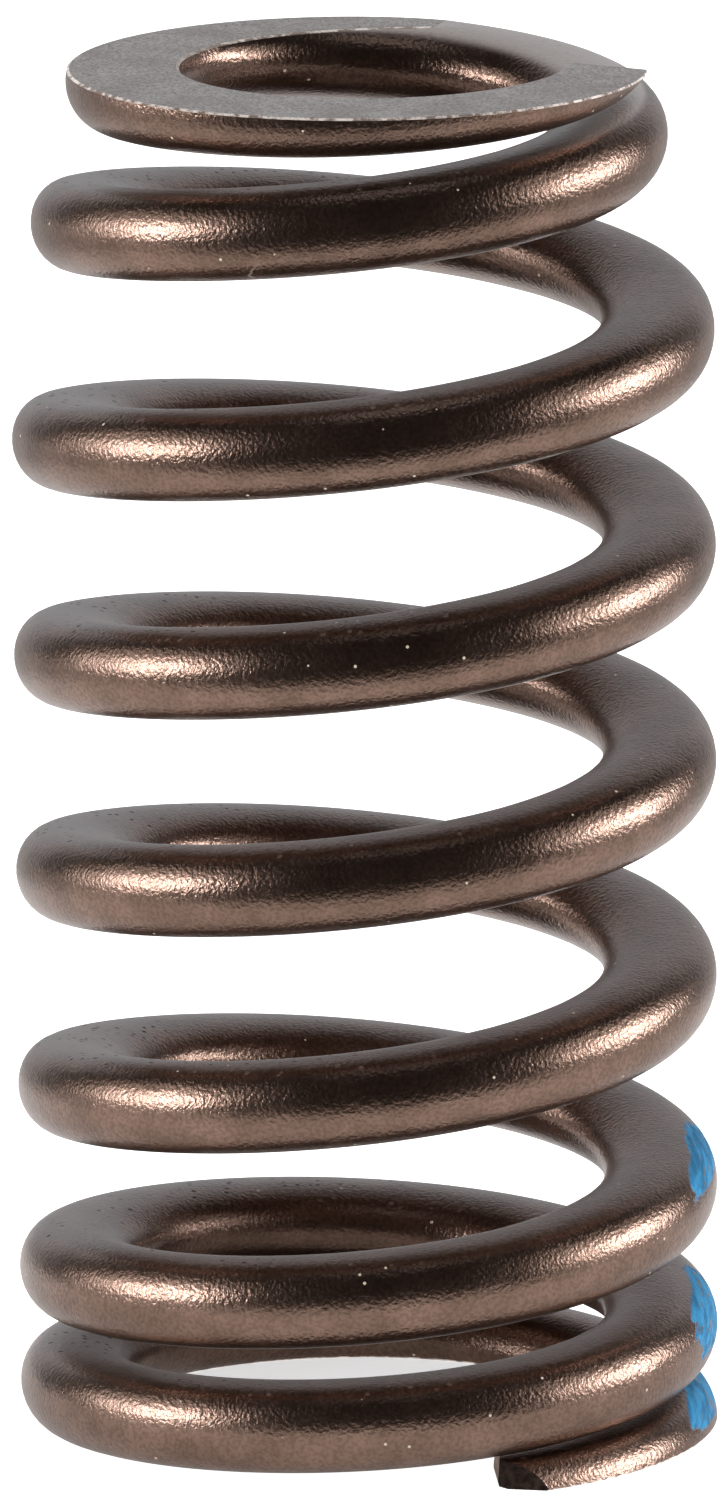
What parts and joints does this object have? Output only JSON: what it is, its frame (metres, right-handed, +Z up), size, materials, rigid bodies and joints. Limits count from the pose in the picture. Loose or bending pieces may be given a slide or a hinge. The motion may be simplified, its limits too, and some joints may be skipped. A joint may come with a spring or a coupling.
{
  "type": "engine valve spring",
  "caption": "Beehive compression spring that closes an engine valve: egg-section steel wire, straight lower coils, a smaller top coil, closed and ground ends.",
  "frame": {"origin": "on the axis of the coils, in the plane of the bottom ground face", "axes": "+Z up along the coils, from the wide bottom end to the small top end; +X and -Y as the picture sees them, with the camera in front at -Y"},
  "size_m": [0.0328, 0.0329, 0.0649],
  "materials": {
    "wire_steel": "oil-tempered bronze brown, shot-peened satin, with matte grey ground ends"
  },
  "bodies": {
    "root": {"spring_wire": "wire_steel"}
  },
  "joints": []
}
